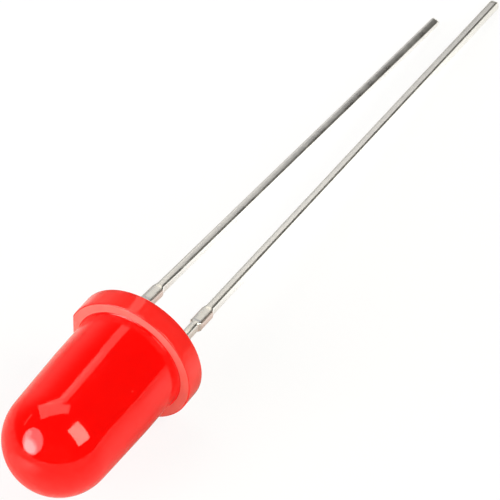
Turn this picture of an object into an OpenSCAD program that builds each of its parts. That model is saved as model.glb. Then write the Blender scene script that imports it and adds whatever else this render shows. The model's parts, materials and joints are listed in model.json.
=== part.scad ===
// Through-hole LED, 5 mm round, with a red diffused lens and two stamped leads.
// Millimetres. The lamp lies at rest on a surface at Z = 0: the back edge of its
// flange and the tips of both leads touch it. The dome points to -Y and the leads
// to +Y, with the cathode on the -X side and the anode on the +X side.
//
// Most pieces are modelled upright in the lamp's own axes: the open face of the
// lens is at z = 0, the dome points up, x runs from the cathode to the anode and
// y runs through the strip's thickness. lay_down() then tips them to rest.

/* [Lens] */
// Diameter of the barrel where a panel clip or a bezel grips it
barrel_d = 5.0; // [4.4:0.1:6]
// Length of the straight grip, from the front of the flange
grip_len = 2.1; // [1.0:0.1:3.0]
// How much smaller the dome's radius is than the grip's
barrel_draft = 0.09; // [0.02:0.01:0.2]
// Height of the lens from its open face to the top of the dome
lens_h = 8.7; // [8.0:0.1:11]
// How far the flange stands out round the barrel
flange_lip = 0.52; // [0.36:0.02:0.8]
// Thickness of the flange
flange_h = 1.0; // [0.6:0.02:1.5]
// Depth of the flat that marks the cathode side of the flange
flat_depth = 0.27; // [0.1:0.01:0.35]
// Rounding of the flange's outer edges
flange_round = 0.05; // [0.02:0.01:0.15]
// Fillet where the barrel meets the flange
barrel_fillet = 0.08; // [0.04:0.02:0.15]
// Depth of the dish that the epoxy's shrinkage leaves in the open face
dish_depth = 0.12; // [0.06:0.02:0.2]
// Width of the flat rim round that dish
dish_rim = 0.45; // [0.3:0.05:0.8]
// Radius at which the epoxy that wets each neck starts to fall away into the dish
meniscus_in_r = 0.42; // [0.4:0.01:0.5]
// Radius at which it would reach the dish's full depth
meniscus_out_r = 0.56; // [0.52:0.02:0.7]

/* [Leads outside the lens] */
// Distance between the two leads where they leave the lens
lead_pitch = 2.54; // [2.2:0.02:3.0]
// Thickness of the strip that both leads are stamped from
strip_t = 0.5; // [0.4:0.05:0.6]
// Width of each leg
leg_w = 0.4; // [0.3:0.05:0.5]
// Width of the necks, between the lens and the shoulders
neck_w = 0.36; // [0.3:0.02:0.5]
// Width of the shoulders, where the tie bar was sheared off
shoulder_w = 0.58; // [0.52:0.02:0.8]
// Length of the shoulders
shoulder_len = 1.15; // [0.8:0.05:1.5]
// Distance from the open face to the shoulders
shoulder_gap = 2.3; // [1.9:0.1:4.0]
// Length of the taper at the far end of each shoulder
shoulder_taper = 0.2; // [0.1:0.05:0.4]
// Length of the cathode from the open face to its tip
cathode_len = 26.7; // [15:0.1:32]
// Length of the anode from the open face to its tip
anode_len = 29.2; // [15:0.1:34]
// Bevel that the shear leaves on the tips
tip_bevel = 0.1; // [0.04:0.02:0.16]

/* [Bends in the leads] */
// Distance from the open face to the bends
bend_gap = 1.8; // [1.0:0.1:1.8]
// How far the anode's leg is bent down from the lamp's axis, in degrees
anode_droop = 4.2; // [0:0.1:5]
// How far the anode's leg is bent sideways, away from the cathode, in degrees
anode_swing = -0.4; // [-2:0.1:2]
// How far the cathode's leg is bent sideways, towards the anode, in degrees
cathode_swing = 1.3; // [-2:0.1:3]

/* [Lead frame inside the lens] */
// Height above the open face at which the necks start to widen
frame_root = 0.85; // [0.6:0.05:1.0]
// Height above the open face at which they reach their full width
frame_full = 1.3; // [1.2:0.05:1.5]
// How far the anvil stands out past the cathode's neck, on its outer side
anvil_flare = 0.45; // [0.2:0.05:0.5]
// How far the post stands out past the anode's neck, on its outer side
post_flare = 0.2; // [0.1:0.05:0.4]
// Sideways gap between the anvil and the foot of the post
frame_gap = 0.42; // [0.3:0.02:0.5]
// Diameter of the holes that lock the epoxy to the anvil and the post
lock_hole_d = 0.4; // [0.2:0.05:0.45]
// Height of the reflector cup's rim above the open face
cup_top = 4.2; // [3.8:0.1:4.8]
// Outside diameter of the cup
cup_d = 1.5; // [1.4:0.05:1.7]
// Height of the cup's straight wall
cup_wall_h = 0.6; // [0.5:0.05:0.8]
// Height of the cone that spreads the strip out to the cup's width
cup_cone_h = 0.35; // [0.25:0.05:0.5]
// Diameter of the reflector at its mouth
reflector_d = 1.1; // [1.0:0.05:1.2]
// Diameter of the reflector at its floor
reflector_floor_d = 0.6; // [0.56:0.02:0.7]
// Depth of the reflector
reflector_depth = 0.35; // [0.3:0.05:0.45]
// How far the top of the anode's post lies below the cup's rim
post_drop = 0.2; // [0:0.05:0.4]
// Width of the post at its top
post_w = 0.6; // [0.5:0.05:0.7]

/* [Chip, glue and wire] */
// Side of the square chip
die_w = 0.3; // [0.2:0.02:0.36]
// Thickness of the chip
die_h = 0.2; // [0.12:0.02:0.22]
// Thickness of the conductive epoxy under the chip
glue_h = 0.03; // [0.02:0.01:0.05]
// How far the epoxy climbs the chip's sides
glue_climb = 0.05; // [0.03:0.01:0.08]
// Gap between the epoxy bead and the edge of the reflector's floor
glue_margin = 0.03; // [0.01:0.01:0.04]
// Diameter of the bond wire
wire_d = 0.04; // [0.03:0.01:0.06]
// Height of the wire's loop above its two ends
wire_loop = 0.42; // [0.35:0.01:0.6]

/* [Hidden] */
$fn = 96;

// A cut reaches this far past what it cuts
past = 0.2;

// Lens
grip_r = barrel_d / 2;
dome_r = grip_r - barrel_draft;
dome_z = lens_h - dome_r;
flange_r = grip_r + flange_lip;
flat_x = flange_r - flat_depth;
grip_z = flange_h + grip_len;
// The drafted wall is the line from the end of the grip that just touches the dome
draft_run = sqrt(pow(grip_r, 2) + pow(dome_z - grip_z, 2));
draft_angle = acos(dome_r / draft_run) - atan((dome_z - grip_z) / grip_r);
dish_r = flange_r - dish_rim;
dish_ball_r = (pow(dish_r, 2) + pow(dish_depth, 2)) / (2 * dish_depth);

// Leads: the two stand this far either side of the axis
lead_x = lead_pitch / 2;
anode_leg = anode_len - bend_gap;
cathode_leg = cathode_len - bend_gap;
shoulder_start = shoulder_gap - bend_gap;
// A bar starts this far before its bend, inside the knuckle
bend_lap = 0.1;

// Rest: the lamp tips back until the anode's tip meets the surface
tip_reach = flange_r - flange_round - anode_leg * sin(anode_droop)
    - strip_t / 2 * cos(anode_droop);
tip_run = flange_round + bend_gap + anode_leg * cos(anode_droop)
    - strip_t / 2 * sin(anode_droop);
rest_tilt = atan(tip_reach / tip_run) + asin(flange_round / norm([tip_reach, tip_run]));
face_h = (flange_r - flange_round) * cos(rest_tilt) + flange_round * (1 - sin(rest_tilt));
bend_h = face_h - bend_gap * sin(rest_tilt);
anode_slope = rest_tilt + anode_droop;
// The cathode's leg slopes down until its own tip meets the surface
cathode_slope = asin(bend_h / norm([cathode_leg, strip_t / 2]))
    - atan(strip_t / 2 / cathode_leg);

// The part's origin is under the middle of its bounding box
dome_y = -dome_z * cos(rest_tilt) - dome_r;
bend_y = bend_gap * cos(rest_tilt);
tip_y = bend_y + cos(anode_swing) * (anode_leg * cos(anode_slope)
    + (strip_t / 2 - tip_bevel) * sin(anode_slope)) + leg_w / 2 * sin(abs(anode_swing));
middle = [(flange_r - flat_x) / 2, (dome_y + tip_y) / 2];

// Lead frame inside the lens
neck_in = lead_x - neck_w / 2;
neck_out = lead_x + neck_w / 2;
cup_wall_z = cup_top - cup_wall_h;
cup_cone_z = cup_wall_z - cup_cone_h;
reflector_z = cup_top - reflector_depth;
// Anvil: its outer side and that side's corners, then its slanted inner side
anvil_side = neck_out + anvil_flare;
anvil_corner_z = cup_cone_z - 0.25;
anvil_brow_z = cup_cone_z + 0.2;
anvil_toe = cup_d / 2 - 0.12;
anvil_toe_z = cup_cone_z - 0.3;
anvil_heel = neck_in - 0.44;
// Post: its foot runs along the anvil's slanted side
post_top = cup_top - post_drop;
post_side = neck_out + post_flare;
post_foot_z = frame_full - 0.15;
lock_hole_z = (frame_full + cup_cone_z) / 2;
die_z = reflector_z + glue_h;
// How far the bead's side leans in for each millimetre that it rises
bead_lean = 0.4;
die_top = die_z + die_h;
// Where the wire meets the post, and the circle that its loop follows
stitch_x = post_side - post_w / 2;
stitch_len = 3 * wire_d;
stitch_d = 1.4 * wire_d;
ball_r = 1.1 * wire_d;
// The loop's ends start this far above the chip and the post, inside the ball and the stitch
wire_lift = wire_d / 2;
chord = [stitch_x, post_top - die_top];
chord_len = norm(chord);
chord_angle = atan(chord[1] / chord[0]);
loop_r = (pow(chord_len / 2, 2) + pow(wire_loop, 2)) / (2 * wire_loop);
loop_half = asin(chord_len / 2 / loop_r);

// From the lamp's own axes to its place at rest
module lay_down() {
    translate([-middle[0], -middle[1], face_h])
        rotate([90 - rest_tilt, 0, 0]) children();
}

// From a leg drawn along +Y to its place at a bend
module at_bend(x, slope, swing) {
    translate([x - middle[0], bend_y - middle[1], bend_h])
        rotate([-slope, 0, -swing]) children();
}

// An outline in the x-z plane, made as thick as the strip
module strip() {
    rotate([90, 0, 0]) linear_extrude(strip_t, center = true) children();
}

// Half the section of the barrel and the dome
module barrel_profile() {
    intersection() {
        union() {
            polygon([
                [0, 0], [grip_r, 0], [grip_r, grip_z],
                [dome_r * cos(draft_angle), dome_z + dome_r * sin(draft_angle)],
                [0, dome_z],
            ]);
            translate([0, dome_z]) circle(dome_r);
        }
        square([flange_r, lens_h + past]);
    }
}

// Half the section of the flange, with its rounded edges and the fillet to the barrel
module flange_profile() {
    difference() {
        square([flange_r, flange_h]);
        edge_cut(0, 1);
        edge_cut(flange_h, -1);
    }
    difference() {
        translate([grip_r - past, flange_h - past])
            square([barrel_fillet + past, barrel_fillet + past]);
        translate([grip_r + barrel_fillet, flange_h + barrel_fillet]) circle(barrel_fillet);
    }
}

// What rounding takes off an outer corner of the flange; up is 1 or -1
module edge_cut(z, up) {
    corner = [flange_r - flange_round, z + up * flange_round];
    difference() {
        translate([corner[0], min(corner[1], z - up * past)])
            square([flange_round + past, flange_round + past]);
        translate(corner) circle(flange_round);
    }
}

// The cast epoxy, solid all through
module casting() {
    difference() {
        union() {
            rotate_extrude() barrel_profile();
            difference() {
                rotate_extrude() flange_profile();
                translate([-flat_x - flange_r, -flange_r, -past])
                    cube([flange_r, 2 * flange_r, flange_h + 2 * past]);
            }
        }
        difference() {
            translate([0, 0, dish_depth - dish_ball_r]) sphere(dish_ball_r);
            for (turn = [0, 180]) rotate([0, 0, turn]) translate([lead_x, 0, 0]) meniscus();
        }
    }
}

// The ramp of epoxy that wets each neck, level with the rim at most
module meniscus() {
    cylinder(h = dish_depth, r1 = meniscus_in_r, r2 = meniscus_out_r);
}

// The cathode inside the lens: neck, anvil and coined cup
module cathode_frame() {
    difference() {
        union() {
            strip() difference() {
                polygon([
                    [-neck_out, -bend_gap], [-neck_out, frame_root],
                    [-anvil_side, frame_full], [-anvil_side, anvil_corner_z],
                    [-cup_d / 2, anvil_brow_z], [-cup_d / 2, cup_wall_z],
                    [anvil_toe, cup_wall_z], [anvil_toe, anvil_toe_z],
                    [-anvil_heel, frame_full],
                    [-neck_in, frame_root], [-neck_in, -bend_gap],
                ]);
                translate([-lead_x, lock_hole_z]) circle(d = lock_hole_d);
            }
            translate([0, 0, cup_wall_z]) cylinder(h = cup_wall_h, d = cup_d);
            translate([0, 0, cup_cone_z]) cylinder(h = cup_cone_h, d1 = strip_t, d2 = cup_d);
        }
        translate([0, 0, reflector_z])
            cylinder(h = reflector_depth, d1 = reflector_floor_d, d2 = reflector_d);
    }
}

// The anode inside the lens: neck and post
module anode_frame() {
    strip() difference() {
        polygon([
            [neck_out, -bend_gap], [neck_out, frame_root],
            [post_side, frame_full], [post_side, post_top],
            [post_side - post_w, post_top], [post_side - post_w, cup_cone_z],
            [frame_gap - anvil_heel, post_foot_z],
            [neck_in, frame_root], [neck_in, -bend_gap],
        ]);
        translate([lead_x, lock_hole_z]) circle(d = lock_hole_d);
    }
}

// A leg from its bend to its tip, drawn along +Y with its thickness along Z
module leg(length) {
    shoulder_end = shoulder_start + shoulder_len;
    half = [
        [neck_w / 2, -bend_lap],
        [neck_w / 2, shoulder_start - (shoulder_w - neck_w) / 2],
        [shoulder_w / 2, shoulder_start],
        [shoulder_w / 2, shoulder_end - shoulder_taper],
        [leg_w / 2, shoulder_end],
        [leg_w / 2, length],
    ];
    intersection() {
        linear_extrude(strip_t, center = true)
            polygon(concat(half, [for (i = [len(half) - 1:-1:0]) [-half[i][0], half[i][1]]]));
        rotate([90, 0, 90]) linear_extrude(shoulder_w + past, center = true)
            polygon([
                [-bend_lap, -strip_t / 2], [length, -strip_t / 2],
                [length, strip_t / 2 - tip_bevel], [length - tip_bevel, strip_t / 2],
                [-bend_lap, strip_t / 2],
            ]);
    }
    rotate([0, 90, 0]) cylinder(h = neck_w, d = strip_t, center = true);
}

// The loop of gold wire, from a ball on the chip to a stitch on the post
module wire() {
    intersection() {
        translate([0, 0, die_top]) sphere(ball_r);
        translate([-ball_r, -ball_r, die_top]) cube(2 * ball_r);
    }
    translate([chord[0] / 2, 0, die_top + wire_lift + chord[1] / 2])
        rotate([90, -chord_angle, 0]) translate([0, wire_loop - loop_r])
            rotate([0, 0, 90 - loop_half]) rotate_extrude(angle = 2 * loop_half)
                translate([loop_r, 0]) circle(d = wire_d);
    intersection() {
        translate([stitch_x, 0, post_top]) rotate([0, 90, 0])
            cylinder(h = stitch_len, d = stitch_d, center = true);
        translate([stitch_x - stitch_len, -stitch_d, post_top])
            cube([2 * stitch_len, 2 * stitch_d, stitch_d]);
    }
}

module chip() {
    translate([-die_w / 2, -die_w / 2, die_z]) cube([die_w, die_w, die_h]);
}

// The bead of glue, wider than the chip and clear of the reflector's wall
module glue() {
    bead_r = reflector_floor_d / 2 - glue_margin;
    bead_h = glue_h + glue_climb;
    difference() {
        translate([0, 0, reflector_z])
            cylinder(h = bead_h, r1 = bead_r, r2 = bead_r - bead_h * bead_lean);
        chip();
    }
}

module lens() {
    color("red") lay_down() difference() {
        casting();
        cathode_frame();
        anode_frame();
        chip();
        glue();
        wire();
    }
}

module cathode_lead() {
    color("silver") {
        lay_down() cathode_frame();
        at_bend(-lead_x, cathode_slope, cathode_swing) leg(cathode_leg);
    }
}

module anode_lead() {
    color("silver") {
        lay_down() anode_frame();
        at_bend(lead_x, anode_slope, anode_swing) leg(anode_leg);
    }
}

module led_die() {
    color("dimgray") lay_down() chip();
}

module die_attach() {
    color("lightgray") lay_down() glue();
}

module bond_wire() {
    color("gold") lay_down() wire();
}

lens();
cathode_lead();
anode_lead();
led_die();
die_attach();
bond_wire();
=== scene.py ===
"""A 5 mm round red diffused through-hole LED at rest on a pale floor: its looks, round its CAD model."""
import json
import math

import bmesh
import bpy
from mathutils import Matrix, Vector


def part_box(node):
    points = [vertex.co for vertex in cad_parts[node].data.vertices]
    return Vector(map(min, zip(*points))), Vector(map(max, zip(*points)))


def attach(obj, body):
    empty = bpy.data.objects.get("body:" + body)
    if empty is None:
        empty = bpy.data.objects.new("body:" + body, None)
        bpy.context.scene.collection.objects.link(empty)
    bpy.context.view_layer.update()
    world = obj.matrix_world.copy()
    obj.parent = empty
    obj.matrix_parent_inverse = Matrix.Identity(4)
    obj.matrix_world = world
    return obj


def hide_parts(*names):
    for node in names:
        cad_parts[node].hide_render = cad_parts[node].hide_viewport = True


MM = 0.001

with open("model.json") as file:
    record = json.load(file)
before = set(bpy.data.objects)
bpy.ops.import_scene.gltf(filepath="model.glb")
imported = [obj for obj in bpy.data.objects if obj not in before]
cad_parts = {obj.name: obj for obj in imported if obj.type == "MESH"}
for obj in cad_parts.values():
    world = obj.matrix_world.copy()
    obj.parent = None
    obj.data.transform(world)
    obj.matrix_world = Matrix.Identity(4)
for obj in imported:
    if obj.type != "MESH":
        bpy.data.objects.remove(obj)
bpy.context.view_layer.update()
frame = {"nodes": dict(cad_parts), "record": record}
mounts = {m["name"]: m for m in frame["record"]["mounts"]}

# ---------------------------------------------------------------- the lamp's own axes, from its mounts
# lamp_z runs from the open face to the dome, lamp_x from the cathode to the anode
lamp_x = Vector((1, 0, 0))
lamp_z = Vector(mounts["barrel"]["axis"]).normalized()
lamp_y = lamp_z.cross(lamp_x)
on_axis = Vector(mounts["barrel"]["pos_m"])
face_centre = on_axis - lamp_z * (on_axis - Vector(mounts["board_seat"]["pos_m"])).dot(lamp_z)
AT_REST = Matrix.Translation(face_centre) @ Matrix([
    [lamp_x[i] * MM, lamp_y[i] * MM, lamp_z[i] * MM, 0] for i in range(3)] + [[0, 0, 0, 1]])


def height(name):
    """How far a mount lies from the open face, in millimetres along the lamp's axis."""
    return (Vector(mounts[name]["pos_m"]) - face_centre).dot(lamp_z) / MM


# ---------------------------------------------------------------- sizes in millimetres
lens_low, lens_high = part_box("lens")
BARREL_R = mounts["barrel"]["dims"]["r_mm"]
GRIP_END = height("barrel") + mounts["barrel"]["dims"]["length_mm"] / 2
FLANGE_H = height("flange_front")
FLANGE_R = (lens_high.x - face_centre.x) / MM
FLAT_X = (face_centre.x - lens_low.x) / MM
FLANGE_ROUND = 0.05
FILLET_R = 0.08
DOME_R = BARREL_R - 0.09
# Towards -Y the lens's box ends one dome radius past the dome's centre
DOME_Z = ((face_centre.y - lens_low.y) / MM - DOME_R) / -lamp_z.y
# The wall's curve changes over EASED, worked out from points FINE_STEP apart. One point in KEPT_POINT stays,
# and the dome's arc runs on to PAST_TOP degrees so that the easing can reach across its top
EASED, FINE_STEP, KEPT_POINT, PAST_TOP = 0.5, 0.02, 5, 100
DISH_DEPTH = 0.12
DISH_R = FLANGE_R - 0.45
# The epoxy wets each lead in a small ramp between these two radii
RAMP_IN, RAMP_OUT = 0.42, 0.56
# Points round the lens, and how far past the last ring the dome's pole stands, in millimetres
LENS_POINTS, POLE_RISE = 256, 0.0003
# SHEEN_AND_MARK_COLOUR is the colour that the dull and satin faces take a share of, as painted sheen, and
# that two lighter marks take too. A short light line on the dome and a light spot on the barrel run from end
# to end in the lamp's own axes, fade out over MARK_FADE_R and take MARK_SHARE of it
SHEEN_AND_MARK_COLOUR = "FFD8C8"
PALE_MARKS = (((-0.73, 1.80, 7.71), (-0.64, 2.08, 7.33)), ((1.90, 1.59, 3.64), (1.90, 1.61, 3.68)))
MARK_FADE_R, MARK_SHARE = 0.06, 0.05

LEAD_X = mounts["lead_pair"]["dims"]["spacing_x_mm"] / 2
BEND_GAP = -height("lead_pair")
BEND_H = mounts["lead_pair"]["pos_m"][2] / MM
STRIP_T = 0.5
LEG_W = 0.4
NECK_W = 0.36
SHOULDER_W = 0.58
SHOULDER_GAP = 2.3
SHOULDER_LEN = 1.15
SHOULDER_TAPER = 0.2
CATHODE_LEN, CATHODE_SWING = 26.7, 1.3
ANODE_LEN, ANODE_SWING = 29.2, -0.4
# How far each leg is twisted about its own line, in degrees, just behind its shoulder and at its tip
CATHODE_TWIST, ANODE_TWIST = (6, 16), (-1, -4)
# How far inside the lens the round-cornered lead ends and the plain stamped frame goes on
FRAME_START = 0.3
# What stamping and plating leave: pillowed faces with round corners, dished shoulders and drawn-down tips.
# PILLOW is the power of the section's curve: 2 is an ellipse, and a large number a sharp rectangle
PILLOW = 4.4
# The punch's dish is PUNCH_DEPTH deep and spans the middle PUNCH_SPAN of the top face. Its rounder corners
# take PUNCH_SOFTENS off the power
PUNCH_DEPTH, PUNCH_SOFTENS, PUNCH_SPAN = 0.018, 0.9, 0.8
# The tip's drawn-down end: its length, how far its upper side drops, and its share of width and thickness
TIP_ROLL, TIP_DROP, TIP_WIDE, TIP_THICK = 0.2, 0.07, 0.86, 0.9
# Half the length of the bend, how far the easing of a lead's corners reaches, how far apart the rings of
# its shoulder stand, and the points in each ring
BEND_HALF, CORNER_EASE, SHOULDER_STEP, LEAD_POINTS = 0.3, 0.02, 0.02, 56
# The two sides of a lead are the faces whose angle round it has a cosine past SIDE_FROM, either way
SIDE_FROM = 0.6
# Edges sharper than this many degrees stay crisp
CRISP_ANGLE = 40

# Pools of glow on the floor for glossy and transmission rays alone: centre, width and length in
# millimetres, and strength
POOL_ROUND_LEADS = ((0, 6, 0), 44, 68, 0.85)
DIM_BESIDE_LENS = ((2.5, -9, 0), 10, 16, 0.65)
POOL_AT_RIGHT = ((5, 4, 0), 12, 30, 0.55)
POOL_BEFORE_DOME = ((-5, -30, 0), 13, 20, 1.9)
# How pale the sheet is to soft light, to gloss, and to the camera, which sees the rest of its white as glow
PAPER, PAPER_IN_GLOSS, PAPER_SEEN = 0.85, 0.43, 0.14
# Between these two distances from the lamp, in millimetres, the camera sees the sheet fade into the sweep
FADE_START, FADE_END = 100, 400
# The pale wall of the room, in degrees from +Y towards -X
WALL_AZIMUTH = 55


# ---------------------------------------------------------------- helpers
def linear(hex_colour):
    """An sRGB hex value as a linear RGBA colour."""
    channels = [int(hex_colour[i:i + 2], 16) / 255 for i in (0, 2, 4)]
    return [c / 12.92 if c <= 0.04045 else ((c + 0.055) / 1.055) ** 2.4 for c in channels] + [1]


def add(tree, kind, inputs=None, **settings):
    """Adds a node with its settings. An input is a value, a socket, or a node for its first output."""
    node = tree.nodes.new(kind)
    for name, value in settings.items():
        setattr(node, name, value)
    for name, value in (inputs or {}).items():
        # A Mix node hides an A and a B for every other kind of data
        found = [k for i, k in enumerate(node.inputs) if k.enabled and name in (i, k.name)][0]
        if isinstance(value, bpy.types.Node):
            value = [k for k in value.outputs if k.enabled][0]
        if isinstance(value, bpy.types.NodeSocket):
            tree.links.new(value, found)
        else:
            found.default_value = value
    return node


def new_material(name):
    """A material with an empty node tree, and its output node."""
    material = bpy.data.materials.new(name)
    material.use_nodes = True
    material.node_tree.nodes.clear()
    return material, material.node_tree, add(material.node_tree, "ShaderNodeOutputMaterial")


def arc(centre, radius, start, end, steps):
    """Points on an arc in the plane, from start to end in degrees, ends included."""
    angles = [math.radians(start + (end - start) * i / steps) for i in range(steps + 1)]
    return [(centre[0] + radius * math.cos(a), centre[1] + radius * math.sin(a)) for a in angles]


def make_object(name, bm, *materials):
    """Turns a bmesh in metres into a smooth piece with crisp corners that rides on the lamp."""
    mesh = bpy.data.meshes.new(name)
    bmesh.ops.recalc_face_normals(bm, faces=bm.faces)
    for edge in bm.edges:
        edge.smooth = edge.calc_face_angle(0) < math.radians(CRISP_ANGLE)
    bm.to_mesh(mesh)
    bm.free()
    for polygon in mesh.polygons:
        polygon.use_smooth = True
    for material in materials:
        mesh.materials.append(material)
    piece = bpy.data.objects.new(name, mesh)
    bpy.context.scene.collection.objects.link(piece)
    keep_flat = piece.modifiers.new("flat faces stay flat", "WEIGHTED_NORMAL")
    keep_flat.weight = 100
    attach(piece, "root")
    return piece


# ---------------------------------------------------------------- materials
def paler_mark_mask(tree, place, start, end):
    """A paler mark: 1 on the line between two points in the lamp's own millimetres, and 0 beside it."""
    start, end = AT_REST @ Vector(start), AT_REST @ Vector(end)
    off = add(tree, "ShaderNodeVectorMath", {0: place, 1: (start + end) / 2}, operation="SUBTRACT")
    along = add(tree, "ShaderNodeVectorMath", {0: off, 1: (end - start).normalized()}, operation="PROJECT")
    across = add(tree, "ShaderNodeVectorMath", {0: off, 1: along}, operation="SUBTRACT")
    half = (end - start).length / 2
    masks = [add(tree, "ShaderNodeMapRange", {
        "Value": add(tree, "ShaderNodeVectorMath", {0: way}, operation="LENGTH").outputs["Value"],
        "From Min": inner, "From Max": inner + MARK_FADE_R * MM, "To Min": 1.0, "To Max": 0.0})
        for way, inner in ((across, 0.0), (along, half))]
    return add(tree, "ShaderNodeMath", {0: masks[0], 1: masks[1]}, operation="MULTIPLY")


def dyed_cast_epoxy(name, smoothest, dullest, painted_sheen, paler_marks=()):
    """Red dyed epoxy full of fine diffusant: a deep even red, as smooth or as dull as its mould."""
    material, tree, out = new_material(name)
    place = add(tree, "ShaderNodeTexCoord").outputs["Object"]
    # Grains of diffusant, about 0.08 mm apart, and slow swirls of dye across 2 mm
    grain = add(tree, "ShaderNodeTexNoise", {"Vector": place, "Scale": 1 / (0.08 * MM), "Detail": 2.0})
    swirl = add(tree, "ShaderNodeTexNoise", {"Vector": place, "Scale": 1 / (2 * MM), "Detail": 3.0})
    depth = add(tree, "ShaderNodeMix", {"Factor": 0.3, "A": swirl, "B": grain}, data_type="FLOAT")
    colour = add(tree, "ShaderNodeValToRGB", {"Fac": depth})
    colour.color_ramp.elements[0].position = 0.3
    colour.color_ramp.elements[0].color = linear("F80302")
    colour.color_ramp.elements[1].position = 0.7
    colour.color_ramp.elements[1].color = linear("FE0602")
    # Painted sheen: on the dull and satin faces the red is mixed with a lighter colour
    skin_sheen_and_marks = add(tree, "ShaderNodeMix", {
        "Factor": painted_sheen, "A": colour, "B": linear(SHEEN_AND_MARK_COLOUR)}, data_type="RGBA")
    # A short line on the dome and a spot on the barrel, painted a little paler than the skin round them
    for start, end in paler_marks:
        marked = add(tree, "ShaderNodeMath", {
            0: paler_mark_mask(tree, place, start, end), 1: MARK_SHARE}, operation="MULTIPLY")
        skin_sheen_and_marks = add(tree, "ShaderNodeMix", {
            "Factor": marked, "A": skin_sheen_and_marks, "B": linear(SHEEN_AND_MARK_COLOUR)}, data_type="RGBA")
    # Handling leaves patches of very light haze on the skin
    haze = add(tree, "ShaderNodeTexNoise", {"Vector": place, "Scale": 1 / (1.2 * MM), "Detail": 4.0})
    rough = add(tree, "ShaderNodeMapRange", {
        "Value": haze, "From Min": 0.4, "From Max": 0.7, "To Min": smoothest, "To Max": dullest})
    wave = add(tree, "ShaderNodeTexNoise", {"Vector": place, "Scale": 1 / (0.9 * MM), "Detail": 1.0})
    bump = add(tree, "ShaderNodeBump", {"Height": wave, "Strength": 0.12, "Distance": 0.02 * MM})
    skin = add(tree, "ShaderNodeBsdfPrincipled", {
        "Base Color": skin_sheen_and_marks, "Roughness": rough, "IOR": 1.52,
        "Subsurface Weight": 0.5, "Subsurface Radius": (1.0, 0.08, 0.06), "Subsurface Scale": 1.0 * MM,
        "Normal": bump})
    tree.links.new(skin.outputs["BSDF"], out.inputs["Surface"])
    return material


def tin_plated_strip():
    """Matt-bright tin on a rolled steel strip: a soft silvery metal with fine lengthwise rolling lines."""
    material, tree, out = new_material("tin plated steel strip")
    place = add(tree, "ShaderNodeTexCoord").outputs["Object"]
    # Rolling lines run along Y: 0.03 mm apart across the strip and about a centimetre long
    along = add(tree, "ShaderNodeMapping", {
        "Vector": place, "Scale": (1 / (0.03 * MM), 1 / (9 * MM), 1 / (0.03 * MM))})
    lines = add(tree, "ShaderNodeTexNoise", {"Vector": along, "Scale": 1.0, "Detail": 2.0})
    # Plating grain, about 0.05 mm, and cloudy patches about 0.5 mm across
    grain = add(tree, "ShaderNodeTexNoise", {"Vector": place, "Scale": 1 / (0.05 * MM), "Detail": 2.0})
    cloud = add(tree, "ShaderNodeTexNoise", {"Vector": place, "Scale": 1 / (0.5 * MM), "Detail": 3.0})
    tone = add(tree, "ShaderNodeValToRGB", {"Fac": cloud})
    tone.color_ramp.elements[0].position = 0.35
    tone.color_ramp.elements[0].color = linear("F1F0F0")
    tone.color_ramp.elements[1].position = 0.7
    tone.color_ramp.elements[1].color = linear("F9F9F9")
    rough = add(tree, "ShaderNodeMapRange", {
        "Value": cloud, "From Min": 0.35, "From Max": 0.65, "To Min": 0.27, "To Max": 0.36})
    relief = add(tree, "ShaderNodeMix", {"Factor": 0.3, "A": lines, "B": grain}, data_type="FLOAT")
    bump = add(tree, "ShaderNodeBump", {"Height": relief, "Strength": 0.08, "Distance": 0.005 * MM})
    metal = add(tree, "ShaderNodeBsdfPrincipled", {
        "Base Color": tone, "Metallic": 1.0, "Roughness": rough, "Normal": bump})
    tree.links.new(metal.outputs["BSDF"], out.inputs["Surface"])
    return material


def sheared_steel_painted_pink():
    """Bare steel where the tie bar was sheared away: duller than tin, with score lines. Its pink tint is
    painted, for the red lens's reflection.
    """
    material, tree, out = new_material("sheared bare steel, painted pink reflection")
    place = add(tree, "ShaderNodeTexCoord").outputs["Object"]
    # Score lines stand 0.02 mm apart along the lead
    upright = add(tree, "ShaderNodeMapping", {
        "Vector": place, "Scale": (1 / (0.3 * MM), 1 / (0.02 * MM), 1 / (0.3 * MM))})
    score = add(tree, "ShaderNodeTexNoise", {"Vector": upright, "Scale": 1.0, "Detail": 2.0})
    # Painted reflection: both ends of the ramp are tinted pink for the red lens that the sides mirror
    tone = add(tree, "ShaderNodeValToRGB", {"Fac": score})
    tone.color_ramp.elements[0].color = linear("E2CFCA")
    tone.color_ramp.elements[1].color = linear("F4E8E5")
    rough = add(tree, "ShaderNodeMapRange", {"Value": score, "To Min": 0.3, "To Max": 0.42})
    bump = add(tree, "ShaderNodeBump", {"Height": score, "Strength": 0.2, "Distance": 0.005 * MM})
    metal = add(tree, "ShaderNodeBsdfPrincipled", {
        "Base Color": tone, "Metallic": 1.0, "Roughness": rough, "Normal": bump})
    tree.links.new(metal.outputs["BSDF"], out.inputs["Surface"])
    return material


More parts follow.
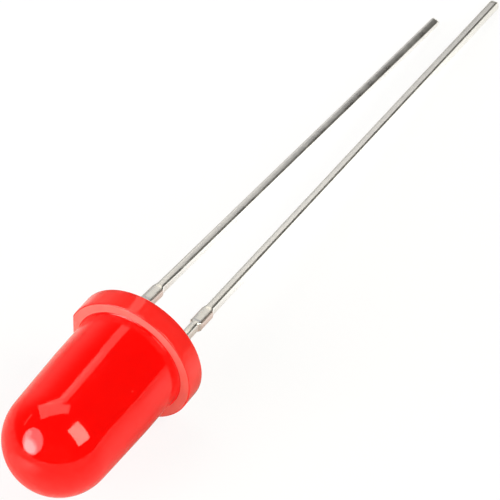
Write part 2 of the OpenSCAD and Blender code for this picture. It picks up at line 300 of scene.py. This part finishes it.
def sawn_chip():
    """Gallium phosphide, sawn from a wafer: a glassy amber-brown block with a small gold pad on its top."""
    material, tree, out = new_material("sawn gallium phosphide")
    place = add(tree, "ShaderNodeTexCoord").outputs["Object"]
    low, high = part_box("led_die")
    middle = (low + high) / 2
    # The pad is a disc 0.11 mm across round the chip's own middle line, on its top face
    away = add(tree, "ShaderNodeVectorMath", {0: place, 1: middle}, operation="SUBTRACT")
    across = add(tree, "ShaderNodeVectorMath", {0: away, 1: lamp_z}, operation="CROSS_PRODUCT")
    across = add(tree, "ShaderNodeVectorMath", {0: across}, operation="LENGTH").outputs["Value"]
    rise = add(tree, "ShaderNodeVectorMath", {0: away, 1: lamp_z}, operation="DOT_PRODUCT").outputs["Value"]
    near = add(tree, "ShaderNodeMath", {0: across, 1: 0.055 * MM}, operation="LESS_THAN")
    on_top = add(tree, "ShaderNodeMath", {0: rise, 1: 0.095 * MM}, operation="GREATER_THAN")
    pad = add(tree, "ShaderNodeMath", {0: near, 1: on_top}, operation="MULTIPLY")
    # Saw marks run 0.01 mm apart
    marks = add(tree, "ShaderNodeTexNoise", {"Vector": place, "Scale": 1 / (0.01 * MM), "Detail": 2.0})
    body = add(tree, "ShaderNodeValToRGB", {"Fac": marks})
    body.color_ramp.elements[0].color = linear("4A2412")
    body.color_ramp.elements[1].color = linear("7A3E1C")
    colour = add(tree, "ShaderNodeMix", {"Factor": pad, "A": body, "B": linear("E8B85A")}, data_type="RGBA")
    rough = add(tree, "ShaderNodeMapRange", {"Value": marks, "To Min": 0.2, "To Max": 0.4})
    bump = add(tree, "ShaderNodeBump", {"Height": marks, "Strength": 0.3, "Distance": 0.002 * MM})
    skin = add(tree, "ShaderNodeBsdfPrincipled", {
        "Base Color": colour, "Metallic": pad, "Roughness": rough, "Normal": bump})
    tree.links.new(skin.outputs["BSDF"], out.inputs["Surface"])
    return material


def silver_filled_epoxy():
    """Glue crowded with silver flakes: a grey paste that glitters a little."""
    material, tree, out = new_material("silver filled epoxy")
    place = add(tree, "ShaderNodeTexCoord").outputs["Object"]
    # Flakes about 0.01 mm across
    flakes = add(tree, "ShaderNodeTexVoronoi", {"Vector": place, "Scale": 1 / (0.01 * MM)})
    flakes = flakes.outputs["Distance"]
    colour = add(tree, "ShaderNodeValToRGB", {"Fac": flakes})
    colour.color_ramp.elements[0].color = linear("D8D8D4")
    colour.color_ramp.elements[1].color = linear("9A9A96")
    rough = add(tree, "ShaderNodeMapRange", {"Value": flakes, "To Min": 0.3, "To Max": 0.6})
    bump = add(tree, "ShaderNodeBump", {"Height": flakes, "Strength": 0.4, "Distance": 0.003 * MM})
    paste = add(tree, "ShaderNodeBsdfPrincipled", {
        "Base Color": colour, "Metallic": 0.8, "Roughness": rough, "Normal": bump})
    tree.links.new(paste.outputs["BSDF"], out.inputs["Surface"])
    return material


def drawn_gold():
    """Drawn gold wire: bright warm metal with the faint lines that the die leaves."""
    material, tree, out = new_material("drawn gold")
    place = add(tree, "ShaderNodeTexCoord").outputs["Object"]
    # Die lines about 0.004 mm apart
    lines = add(tree, "ShaderNodeTexNoise", {"Vector": place, "Scale": 1 / (0.004 * MM), "Detail": 1.0})
    colour = add(tree, "ShaderNodeValToRGB", {"Fac": lines})
    colour.color_ramp.elements[0].color = linear("E2AE4C")
    colour.color_ramp.elements[1].color = linear("F3CB74")
    rough = add(tree, "ShaderNodeMapRange", {"Value": lines, "To Min": 0.15, "To Max": 0.3})
    metal = add(tree, "ShaderNodeBsdfPrincipled", {
        "Base Color": colour, "Metallic": 1.0, "Roughness": rough})
    tree.links.new(metal.outputs["BSDF"], out.inputs["Surface"])
    return material


# ---------------------------------------------------------------- lens
def wall_lean():
    """The draft of the wall in radians: it starts at the grip's end and just touches the dome."""
    run = math.hypot(BARREL_R, DOME_Z - GRIP_END)
    return math.acos(DOME_R / run) - math.atan2(DOME_Z - GRIP_END, BARREL_R)


def barrel_and_dome():
    """The wall from the grip to the dome's top, with the changes of its curve eased over EASED."""
    lean = math.degrees(wall_lean())
    top = (DOME_R * math.cos(math.radians(lean)), DOME_Z + DOME_R * math.sin(math.radians(lean)))
    corners = [(BARREL_R, FLANGE_H + FILLET_R + 0.05), (BARREL_R, GRIP_END), top]
    fine = []
    for (r0, z0), (r1, z1) in zip(corners, corners[1:]):
        steps = round(math.hypot(r1 - r0, z1 - z0) / FINE_STEP)
        fine += [(r0 + (r1 - r0) * k / steps, z0 + (z1 - z0) * k / steps) for k in range(steps)]
    steps = round(math.radians(PAST_TOP - lean) * DOME_R / FINE_STEP)
    fine += arc((0, DOME_Z), DOME_R, lean, PAST_TOP, steps)
    reach = round(EASED / 2 / FINE_STEP)
    eased = []
    for k in range(reach, len(fine) - reach, KEPT_POINT):
        window = fine[k - reach:k + reach + 1]
        eased.append((sum(r for r, z in window) / len(window), sum(z for r, z in window) / len(window)))
    return [(r, z) for r, z in eased if r > 0.05]


def lens_profile():
    """Half the lens's section outside the dish, from the rim of the dish round to the top of the dome."""
    flange_edge = FLANGE_R - FLANGE_ROUND
    points = [(DISH_R, 0), (DISH_R + 0.12, 0), (flange_edge - 0.05, 0)]
    points += arc((flange_edge, FLANGE_ROUND), FLANGE_ROUND, -90, 0, 5)
    points += [(FLANGE_R, FLANGE_H * k / 4) for k in (1, 2, 3)]
    points += arc((flange_edge, FLANGE_H - FLANGE_ROUND), FLANGE_ROUND, 0, 90, 5)
    points += [(flange_edge - 0.05, FLANGE_H), (BARREL_R + FILLET_R + 0.1, FLANGE_H)]
    points += arc((BARREL_R + FILLET_R, FLANGE_H + FILLET_R), FILLET_R, -90, -180, 5)
    return points + barrel_and_dome()


def dish_height(x, y):
    """How deep the open face is dished at a point, with the ramps of epoxy that wet the leads."""
    ball_r = (DISH_R ** 2 + DISH_DEPTH ** 2) / (2 * DISH_DEPTH)
    dish = DISH_DEPTH - ball_r + math.sqrt(ball_r ** 2 - x * x - y * y)
    for side in (-1, 1):
        away = math.hypot(x - side * LEAD_X, y)
        ramp = min(max((away - RAMP_IN) / (RAMP_OUT - RAMP_IN), 0), 1)
        dish = min(dish, DISH_DEPTH * ramp ** 1.5 if ramp < 1 else dish)
    return dish


def lens(*finishes):
    """The cast body: a turned form, with the dished face, and the flange cut flat on the cathode's side."""
    around = LENS_POINTS
    bm = bmesh.new()
    angles = [2 * math.pi * k / around for k in range(around)]
    inner = [DISH_R * k / 30 for k in range(1, 30)]
    rings = [[bm.verts.new((r * math.cos(a), r * math.sin(a), dish_height(r * math.cos(a), r * math.sin(a))))
              for a in angles] for r in inner]
    rings += [[bm.verts.new((r * math.cos(a), r * math.sin(a), z)) for a in angles]
              for r, z in lens_profile()]
    for low, high in zip(rings, rings[1:]):
        for k in range(around):
            bm.faces.new((low[k], low[(k + 1) % around], high[(k + 1) % around], high[k]))
    for ring, z in ((rings[0], dish_height(0, 0)), (rings[-1], rings[-1][0].co.z + POLE_RISE)):
        pole = bm.verts.new((0, 0, z))
        for k in range(around):
            bm.faces.new((ring[k], ring[(k + 1) % around], pole))
    cut = bmesh.ops.bisect_plane(
        bm, geom=bm.verts[:] + bm.edges[:] + bm.faces[:], plane_co=(-FLAT_X, 0, 0), plane_no=(-1, 0, 0),
        clear_outer=True)
    rim = [e for e in cut["geom_cut"] if isinstance(e, bmesh.types.BMEdge)]
    bmesh.ops.contextual_create(bm, geom=rim)
    # The flange's front is satin, and its side and the open face are a little duller than the barrel.
    # All three carry painted sheen in their colour, the front the most
    for face in bm.faces:
        if all(abs(v.co.z - FLANGE_H) < 0.001 for v in face.verts):
            face.material_index = 2
        elif all(v.co.z < FLANGE_H + 0.001 for v in face.verts):
            face.material_index = 1
    bm.transform(AT_REST)
    piece = make_object("lens_casting", bm, *finishes)
    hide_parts("lens")
    return piece


# ---------------------------------------------------------------- leads
def edge_line(s, corners):
    """The value at a distance s along a line through corners, which are rounded over by CORNER_EASE."""
    def sharp(t):
        for (s0, w0), (s1, w1) in zip(corners, corners[1:]):
            if t <= s1:
                return w0 + (w1 - w0) * (t - s0) / (s1 - s0)
    window = [s + CORNER_EASE * k / 3 for k in range(-3, 4)]
    return sum(sharp(t) for t in window) / len(window)


def half_width(s):
    """Half the lead's width at a distance s below the open face."""
    flare = (SHOULDER_W - NECK_W) / 2
    return edge_line(s, [
        (-9, NECK_W), (SHOULDER_GAP - flare, NECK_W), (SHOULDER_GAP, SHOULDER_W),
        (SHOULDER_GAP + SHOULDER_LEN - SHOULDER_TAPER, SHOULDER_W),
        (SHOULDER_GAP + SHOULDER_LEN, LEG_W), (99, LEG_W)]) / 2


def punch_mark(s):
    """How deep the trimming punch's dish is at a distance s: nothing outside the shoulder."""
    start, end = SHOULDER_GAP + 0.02, SHOULDER_GAP + SHOULDER_LEN - 0.06
    return edge_line(s, [(-9, 0), (start, 0), (start + 0.12, PUNCH_DEPTH), (end - 0.14, PUNCH_DEPTH),
                         (end, 0), (99, 0)])


def section(half_w, half_t, dish=0):
    """The outline across a lead. dish is the dip in its top face, where the corners are rounder too."""
    power = PILLOW - PUNCH_SOFTENS * dish / PUNCH_DEPTH
    points = []
    for k in range(LEAD_POINTS):
        a = 2 * math.pi * (k + 0.5) / LEAD_POINTS
        u = math.copysign(abs(math.cos(a)) ** (2 / power), math.cos(a))
        v = math.copysign(abs(math.sin(a)) ** (2 / power), math.sin(a))
        sunk = dish * max(0, 1 - (u / PUNCH_SPAN) ** 4) if v > PUNCH_SPAN else 0
        points.append((u * half_w, v * half_t - sunk))
    return points


def add_inner_frame(bm, node):
    """Adds what the lens hides, the anvil with its cup or the post, as the CAD model has it."""
    inner = bmesh.new()
    inner.from_mesh(frame["nodes"][node].data)
    bmesh.ops.remove_doubles(inner, verts=inner.verts, dist=1e-7)
    cut = bmesh.ops.bisect_plane(
        inner, geom=inner.verts[:] + inner.edges[:] + inner.faces[:],
        plane_co=face_centre + lamp_z * FRAME_START * MM, plane_no=lamp_z, clear_inner=True)
    rim = [e for e in cut["geom_cut"] if isinstance(e, bmesh.types.BMEdge)]
    bmesh.ops.contextual_create(inner, geom=rim)
    mesh = bpy.data.meshes.new("inner frame")
    inner.to_mesh(mesh)
    inner.free()
    bm.from_mesh(mesh)
    bpy.data.meshes.remove(mesh)


def lead(name, node, side, length, swing, twist, *materials):
    """One stamped lead from inside the lens to its tip, bent at BEND_GAP behind the open face."""
    leg = length - BEND_GAP
    slope = math.asin(BEND_H / math.hypot(leg, STRIP_T / 2)) - math.atan(STRIP_T / 2 / leg)
    swing = math.radians(swing)
    out_neck = -lamp_z
    out_leg = Vector((math.sin(swing) * math.cos(slope), math.cos(swing) * math.cos(slope),
                      -math.sin(slope)))
    across_neck, across_leg = lamp_x, Vector((math.cos(swing), -math.sin(swing), 0))
    corner = face_centre + (lamp_x * side * LEAD_X - lamp_z * BEND_GAP) * MM
    shoulder_end = SHOULDER_GAP + SHOULDER_LEN
    stations = [-FRAME_START, 0.0, 0.4, 0.9]
    stations += [BEND_GAP - BEND_HALF + 0.05 * k for k in range(13)]
    stations += [SHOULDER_GAP - 0.14 + SHOULDER_STEP * k
                 for k in range(round((SHOULDER_LEN + 0.2) / SHOULDER_STEP))]
    # Along the straight leg one ring stands in each millimetre
    stations += [shoulder_end + 0.3 + k for k in range(60) if shoulder_end + 0.3 + k < length - 0.5]
    stations += [length - 0.3, length - TIP_ROLL]
    half_t = STRIP_T / 2
    bm = bmesh.new()
    rings = []

    def ring(s, outline):
        turn = min(max((s - BEND_GAP + BEND_HALF) / (2 * BEND_HALF), 0), 1)
        away = s - BEND_GAP
        on_neck, on_leg = corner + out_neck * away * MM, corner + out_leg * away * MM
        # Inside the bend the centre line is a curve between the two straight runs
        centre = on_neck.lerp(on_leg, turn)
        forward = out_neck.lerp(out_leg, turn).normalized()
        across = across_neck.lerp(across_leg, turn)
        across = (across - forward * across.dot(forward)).normalized()
        up = across.cross(forward)
        turned = math.radians(edge_line(s, [
            (-9, 0), (shoulder_end, 0), (shoulder_end + 1, twist[0]), (length, twist[1]), (99, 0)]))
        # A twisted lead stands on a corner, which lifts its middle
        lowest = min(v * math.cos(turned) - u * math.sin(turned) for u, v in outline)
        centre = centre + up * max(0, -half_t - lowest) * MM
        across, up = (across * math.cos(turned) - up * math.sin(turned),
                      up * math.cos(turned) + across * math.sin(turned))
        rings.append([bm.verts.new(centre + (across * u + up * v) * MM) for u, v in outline])

    for s in stations:
        ring(s, section(half_width(s), half_t, punch_mark(s)))
    # The shear drew the upper side of the tip down before it cut through, and left a burr below
    full = section(LEG_W / 2, half_t)
    for k in (0.35, 0.65, 0.9):
        ring(length - TIP_ROLL * (1 - k), [(u, v - TIP_DROP * k ** 1.5 * (v > 0)) for u, v in full])
    ring(length, [(u * TIP_WIDE, v * TIP_THICK - TIP_DROP * (v > 0)) for u, v in full])
    for low, high, s in zip(rings, rings[1:], stations + [length] * 4):
        for k in range(len(low)):
            face = bm.faces.new((low[k], low[(k + 1) % len(low)], high[(k + 1) % len(low)], high[k]))
            # The shoulder's two sides are where the tie bar was sheared off.
            # Their pink tint is painted reflection of the lens
            beside = abs(math.cos(2 * math.pi * (k + 1) / len(low))) > SIDE_FROM
            face.material_index = int(beside and SHOULDER_GAP <= s < shoulder_end - SHOULDER_TAPER)
    bm.faces.new(rings[0])
    bm.faces.new(rings[-1])
    add_inner_frame(bm, node)
    piece = make_object(name, bm, *materials)
    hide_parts(node)
    return piece


# ---------------------------------------------------------------- stage
def floor():
    """A white floor with a trace of the lamp's shadow. Gloss sees it duller, with painted pools of glow."""
    material, tree, out = new_material("white floor")
    path = add(tree, "ShaderNodeLightPath")
    place = add(tree, "ShaderNodeNewGeometry").outputs["Position"]
    mirrored = add(tree, "ShaderNodeMath", {
        0: path.outputs["Is Glossy Ray"], 1: path.outputs["Is Transmission Ray"]}, operation="MAXIMUM")

    def pool(centre, width, length, strength):
        """A pool of glow: strength in its middle, nothing outside its ellipse."""
        away = add(tree, "ShaderNodeVectorMath", {
            0: place, 1: [c * MM for c in centre]}, operation="SUBTRACT")
        away = add(tree, "ShaderNodeVectorMath", {
            0: away, 1: (2 / (width * MM), 2 / (length * MM), 0)}, operation="MULTIPLY")
        away = add(tree, "ShaderNodeVectorMath", {0: away}, operation="LENGTH").outputs["Value"]
        return add(tree, "ShaderNodeMapRange", {
            "Value": away, "From Max": 1.0, "To Min": strength, "To Max": 0.0})

    # These pools stand in for what the lamp mirrors, and only gloss sees them
    behind = add(tree, "ShaderNodeMath", {0: pool(*POOL_ROUND_LEADS), 1: pool(*DIM_BESIDE_LENS)},
                 operation="SUBTRACT", use_clamp=True)
    pools = add(tree, "ShaderNodeMath", {0: pool(*POOL_AT_RIGHT), 1: pool(*POOL_BEFORE_DOME)})
    pools = add(tree, "ShaderNodeMath", {0: behind, 1: pools})
    mirrored_glow = add(tree, "ShaderNodeMath", {0: mirrored, 1: pools}, operation="MULTIPLY")
    distance = add(tree, "ShaderNodeVectorMath", {0: place}, operation="LENGTH").outputs["Value"]
    seen = add(tree, "ShaderNodeMapRange", {
        "Value": distance, "From Min": FADE_START * MM, "From Max": FADE_END * MM,
        "To Min": 1 - PAPER_SEEN, "To Max": 1.0})
    strength = add(tree, "ShaderNodeMath", {
        0: path.outputs["Is Camera Ray"], 1: seen, 2: mirrored_glow}, operation="MULTIPLY_ADD")
    # The sheet is warm white to all but the camera
    paper = add(tree, "ShaderNodeMapRange", {"Value": mirrored, "To Min": PAPER, "To Max": PAPER_IN_GLOSS})
    paper = add(tree, "ShaderNodeMix", {
        "Factor": path.outputs["Is Camera Ray"], "A": paper, "B": PAPER_SEEN}, data_type="FLOAT")
    tint = add(tree, "ShaderNodeMix", {
        "Factor": path.outputs["Is Camera Ray"], "A": linear("FFFDF4"), "B": (1, 1, 1, 1)},
        data_type="RGBA")
    shade_colour = add(tree, "ShaderNodeVectorMath", {0: tint, 1: paper}, operation="MULTIPLY")
    # For gloss alone, a pink tint round the lens stands in for the red light that it throws on the sheet
    beside = add(tree, "ShaderNodeSeparateXYZ", {"Vector": place}).outputs["Y"]
    beside = add(tree, "ShaderNodeMapRange", {
        "Value": beside, "From Min": -8 * MM, "From Max": -4 * MM, "To Min": 1.0, "To Max": 0.0})
    blush = add(tree, "ShaderNodeMath", {0: beside, 1: mirrored}, operation="MULTIPLY")
    light_colour = add(tree, "ShaderNodeMix", {
        "Factor": blush, "A": (1, 1, 1, 1), "B": linear("FFD2C6")}, data_type="RGBA")
    glow = add(tree, "ShaderNodeEmission", {"Color": light_colour, "Strength": strength})
    shade = add(tree, "ShaderNodeBsdfDiffuse", {"Color": shade_colour})
    both = add(tree, "ShaderNodeAddShader", {0: glow, 1: shade})
    tree.links.new(both.outputs[0], out.inputs["Surface"])
    bm = bmesh.new()
    bmesh.ops.create_circle(bm, cap_ends=True, segments=128, radius=3)
    mesh = bpy.data.meshes.new("floor")
    bm.to_mesh(mesh)
    bm.free()
    mesh.materials.append(material)
    piece = bpy.data.objects.new("floor", mesh)
    bpy.context.scene.collection.objects.link(piece)


def room():
    """A dark studio with a pale wall, low at the left behind the lamp. The camera sees a white sweep."""
    world = bpy.data.worlds.new("studio room")
    bpy.context.scene.world = world
    world.use_nodes = True
    tree = world.node_tree
    tree.nodes.clear()
    way = add(tree, "ShaderNodeTexCoord").outputs["Generated"]
    wall_way = (-math.sin(math.radians(WALL_AZIMUTH)), math.cos(math.radians(WALL_AZIMUTH)), 0)
    near_wall = add(tree, "ShaderNodeVectorMath", {
        0: way, 1: wall_way}, operation="DOT_PRODUCT").outputs["Value"]
    wall = add(tree, "ShaderNodeValToRGB", {"Fac": near_wall})
    stops = ((0.0, 0.05), (0.75, 0.07), (0.85, 0.14), (0.91, 0.24), (0.96, 0.36), (1.0, 0.46))
    for _ in stops[2:]:
        wall.color_ramp.elements.new(0.5)
    for stop, (at, grey) in zip(wall.color_ramp.elements, stops):
        stop.position = at
        stop.color = (grey, grey * 0.95, grey * 0.82, 1)
    path = add(tree, "ShaderNodeLightPath")
    seen = add(tree, "ShaderNodeMix", {
        "Factor": path.outputs["Is Camera Ray"], "A": wall, "B": (1, 1, 1, 1)}, data_type="RGBA")
    light = add(tree, "ShaderNodeBackground", {"Color": seen})
    add(tree, "ShaderNodeOutputWorld", {"Surface": light})


def panel(name, centre, across, up, radiance, colour=(1, 1, 1), shape="RECTANGLE", in_gloss=True):
    """A soft panel. centre, in millimetres from the dome's centre, and the panel's two sides are vectors."""
    across, up = Vector(across), Vector(up)
    data = bpy.data.lights.new(name, "AREA")
    data.shape = shape
    data.size, data.size_y = across.length * MM, up.length * MM
    data.color = colour
    data.energy = radiance * 4 * data.size * data.size_y * (math.pi / 4 if shape == "ELLIPSE" else 1)
    lamp = bpy.data.objects.new(name, data)
    x, y = across.normalized(), up.normalized()
    z = x.cross(y)
    place = dome_centre + Vector(centre) * MM
    lamp.matrix_world = Matrix([[x[i], y[i], z[i], place[i]] for i in range(3)] + [[0, 0, 0, 1]])
    lamp.visible_camera = False
    lamp.visible_glossy = in_gloss
    bpy.context.scene.collection.objects.link(lamp)


def facing(azimuth, elevation, away, width, height, aside=(0, 0)):
    """A panel's centre and sides when it faces the lamp: azimuth from +Y towards +X, in millimetres."""
    a, e = math.radians(azimuth), math.radians(elevation)
    towards = Vector((math.sin(a) * math.cos(e), math.cos(a) * math.cos(e), math.sin(e)))
    right = Vector((math.cos(a), -math.sin(a), 0))
    up = right.cross(towards)
    return towards * away + right * aside[0] + up * aside[1], right * -width, up * height


def camera():
    """A long lens that looks down on the lamp from beside its dome."""
    data = bpy.data.cameras.new("camera")
    data.sensor_width = 36
    data.lens = 293.3
    data.clip_start, data.clip_end = 0.01, 10
    eye = bpy.data.objects.new("camera", data)
    azimuth, elevation = math.radians(31.32), math.radians(46.05)
    view = Vector((-math.sin(azimuth) * math.cos(elevation), math.cos(azimuth) * math.cos(elevation),
                   -math.sin(elevation)))
    # The eye's place, in millimetres from the middle of the open face
    eye.location = face_centre + Vector((64.339, -96.921, 126.432)) * MM
    eye.rotation_mode = "QUATERNION"
    eye.rotation_quaternion = view.to_track_quat("-Z", "Y")
    bpy.context.scene.collection.objects.link(eye)
    bpy.context.scene.camera = eye


dome_centre = face_centre + lamp_z * DOME_Z * MM
camera()
room()
floor()
# A long softbox overhead that runs away from the camera, a square one at the right, and an umbrella in
# front, brighter in its lower half. No two of the umbrella's four layers lie in one plane
panel("strip softbox", (-45, 109, 292), (161, 213, 288), (-75, 92, -26), 1.3, (1.0, 0.94, 0.8))
panel("low end of the strip softbox", *facing(-26, 46, 400, 80, 150), 0.9, (1.0, 0.94, 0.8))
panel("inner end of the strip softbox", *facing(-26, 46, 400, 165, 55, aside=(-85, 48)), 1.2,
      (1.0, 0.94, 0.8))
panel("square softbox", (273, 22, 246), (7, 194, -15), (-167, 22, 182), 4.8, (1.0, 0.97, 0.82))
panel("card over the leads", (-13, 49, 16.3), (20, 0, 0), (0, 42, 0), 0.36)
panel("card beside the leads", (-25, 47, 7.5), (0, -39, 0), (0, 0, 17), 0.2)
panel("low soft fill", *facing(158, 9, 400, 500, 400), 1.25, in_gloss=False)
panel("soft fill at the left", *facing(-80, 15, 400, 400, 300), 0.7, in_gloss=False)
panel("umbrella", *facing(-151, 25, 400, 330, 350, aside=(5, 0)), 2.4, shape="ELLIPSE")
panel("glow in the umbrella", *facing(-151, 25, 396, 246, 205, aside=(0, -74)), 2.0, shape="ELLIPSE")
panel("middle of the glow", *facing(-151, 25, 388, 180, 145, aside=(0, -76)), 3.8, shape="ELLIPSE")
panel("left part of the glow", *facing(-151, 25, 392, 90, 130, aside=(106, 18)), 1.8, shape="ELLIPSE")

# bare is sheared steel, tinted pink as painted reflection of the red lens
tin, bare = tin_plated_strip(), sheared_steel_painted_pink()
# The fourth number of each finish is the share of lighter colour mixed in as painted sheen
lens(dyed_cast_epoxy("dyed cast epoxy", 0.05, 0.1, 0.0, PALE_MARKS),
     dyed_cast_epoxy("dyed cast epoxy, dull, faint painted sheen", 0.08, 0.14, 0.035),
     dyed_cast_epoxy("dyed cast epoxy, satin, painted sheen", 0.4, 0.5, 0.27))
lead("cathode_stamping", "cathode_lead", -1, CATHODE_LEN, CATHODE_SWING, CATHODE_TWIST, tin, bare)
lead("anode_stamping", "anode_lead", 1, ANODE_LEN, ANODE_SWING, ANODE_TWIST, tin, bare)

for node, finish in (("led_die", sawn_chip()), ("die_attach", silver_filled_epoxy()),
                     ("bond_wire", drawn_gold())):
    frame["nodes"][node].material_slots[0].material = finish

view = bpy.context.scene.view_settings
view.view_transform = "Standard"
